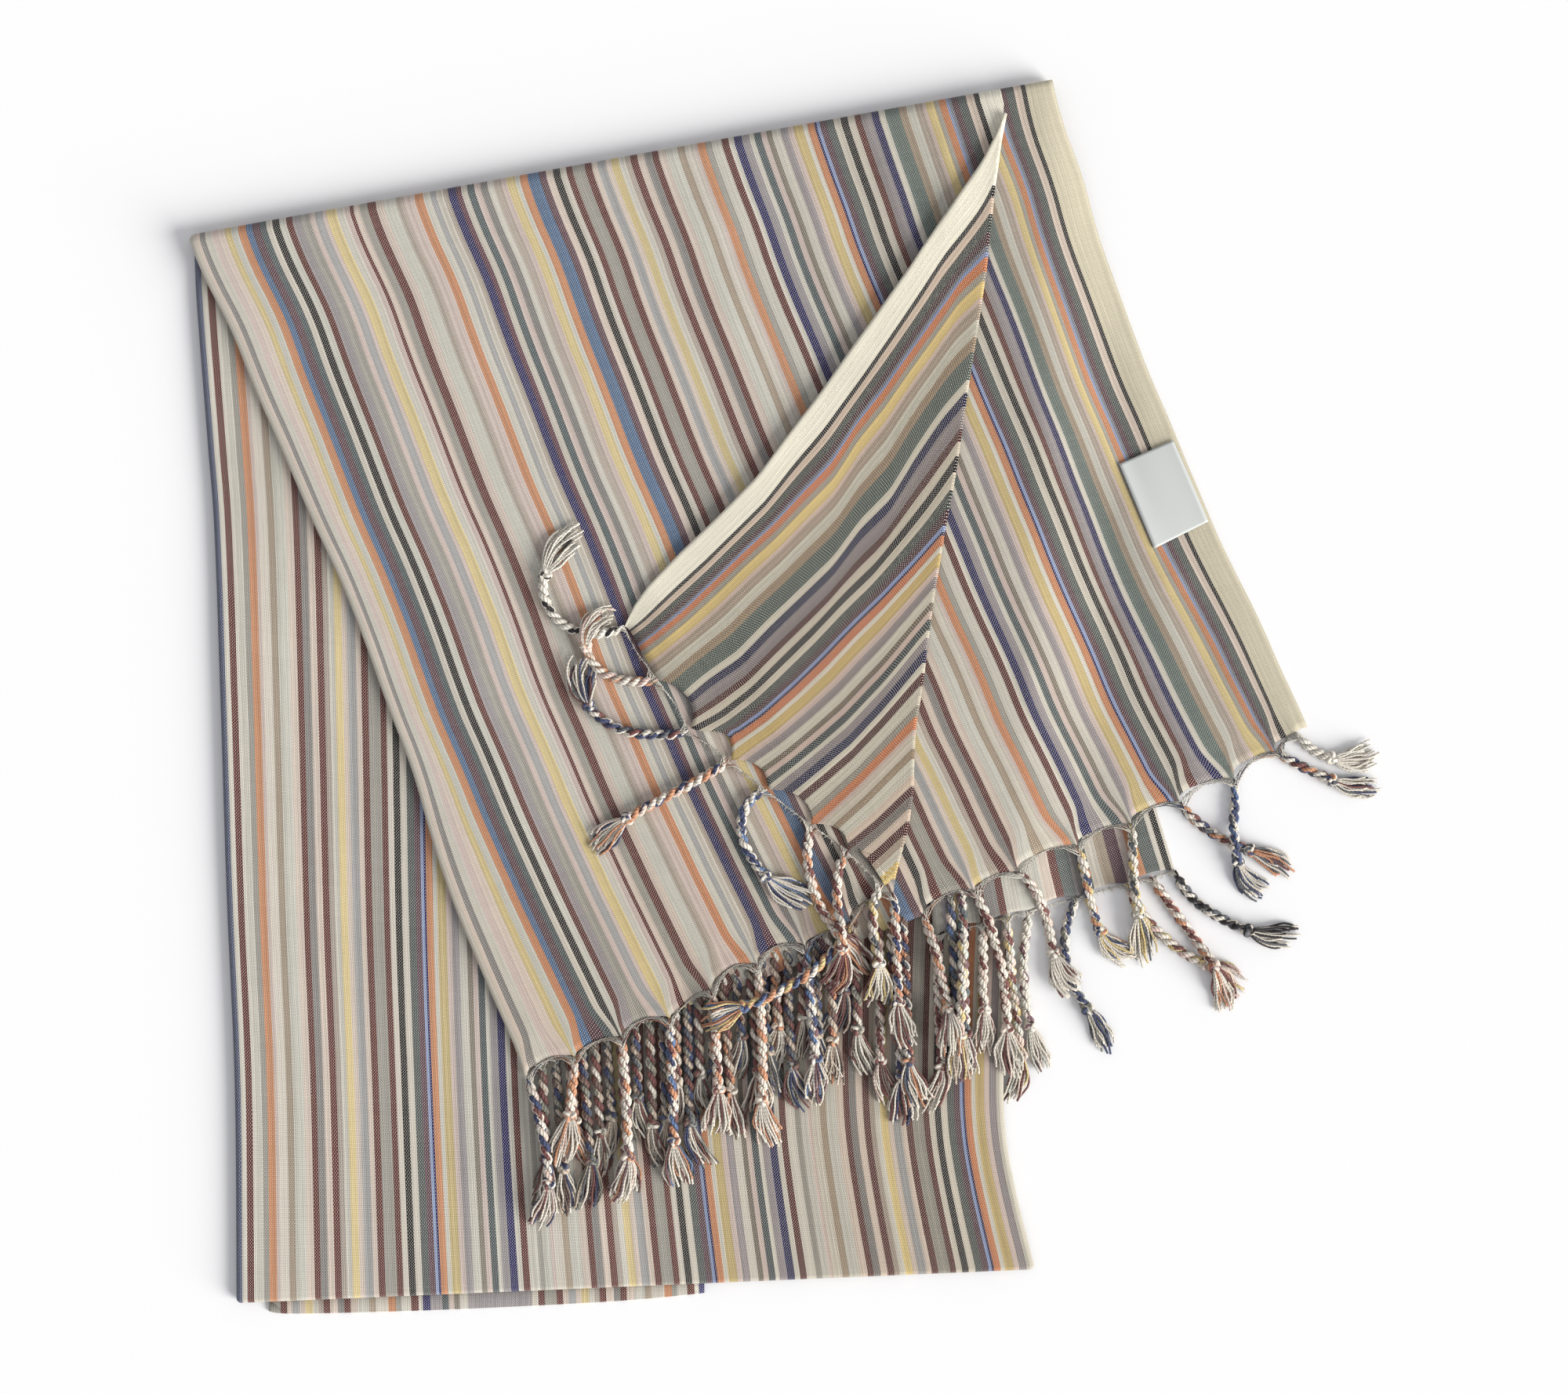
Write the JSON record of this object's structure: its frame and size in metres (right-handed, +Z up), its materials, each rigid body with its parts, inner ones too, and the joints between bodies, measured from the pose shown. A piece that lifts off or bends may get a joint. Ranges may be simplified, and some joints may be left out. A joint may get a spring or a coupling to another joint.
{
  "type": "beach blanket",
  "caption": "Striped woven cotton beach blanket folded into a flat stack, its top end flapped forward, one corner turned back, with twisted fringe and a bare side label.",
  "frame": {"origin": "under the middle of the folded blanket's outline, on the surface it lies on", "axes": "+Z up out of the cloth, +Y towards the slanting top fold, +X towards the flap that carries the label"},
  "size_m": [0.7476, 0.7754, 0.0213],
  "materials": {
    "hidden_layers": "dry flat-woven cotton, striped",
    "back_panel": "dry flat-woven cotton, striped",
    "front_flap": "dry flat-woven cotton, striped",
    "second_flap": "dry flat-woven cotton, striped",
    "third_flap": "dry flat-woven cotton, striped",
    "turned_corner": "dry flat-woven cotton, striped",
    "lower_fold_edge": "dry flat-woven cotton, striped",
    "label": "smooth satin ribbon",
    "fringe_lower": "twisted cotton cords",
    "fringe_third": "twisted cotton cords",
    "fringe_second": "twisted cotton cords",
    "fringe_front": "twisted cotton cords",
    "fringe_corner": "twisted cotton cords"
  },
  "bodies": {
    "root": {"hidden_layers": "hidden_layers", "back_panel": "back_panel", "front_flap": "front_flap", "second_flap": "second_flap", "third_flap": "third_flap", "turned_corner": "turned_corner", "lower_fold_edge": "lower_fold_edge", "label": "label", "fringe_lower": "fringe_lower", "fringe_third": "fringe_third", "fringe_second": "fringe_second", "fringe_front": "fringe_front", "fringe_corner": "fringe_corner"}
  },
  "joints": []
}
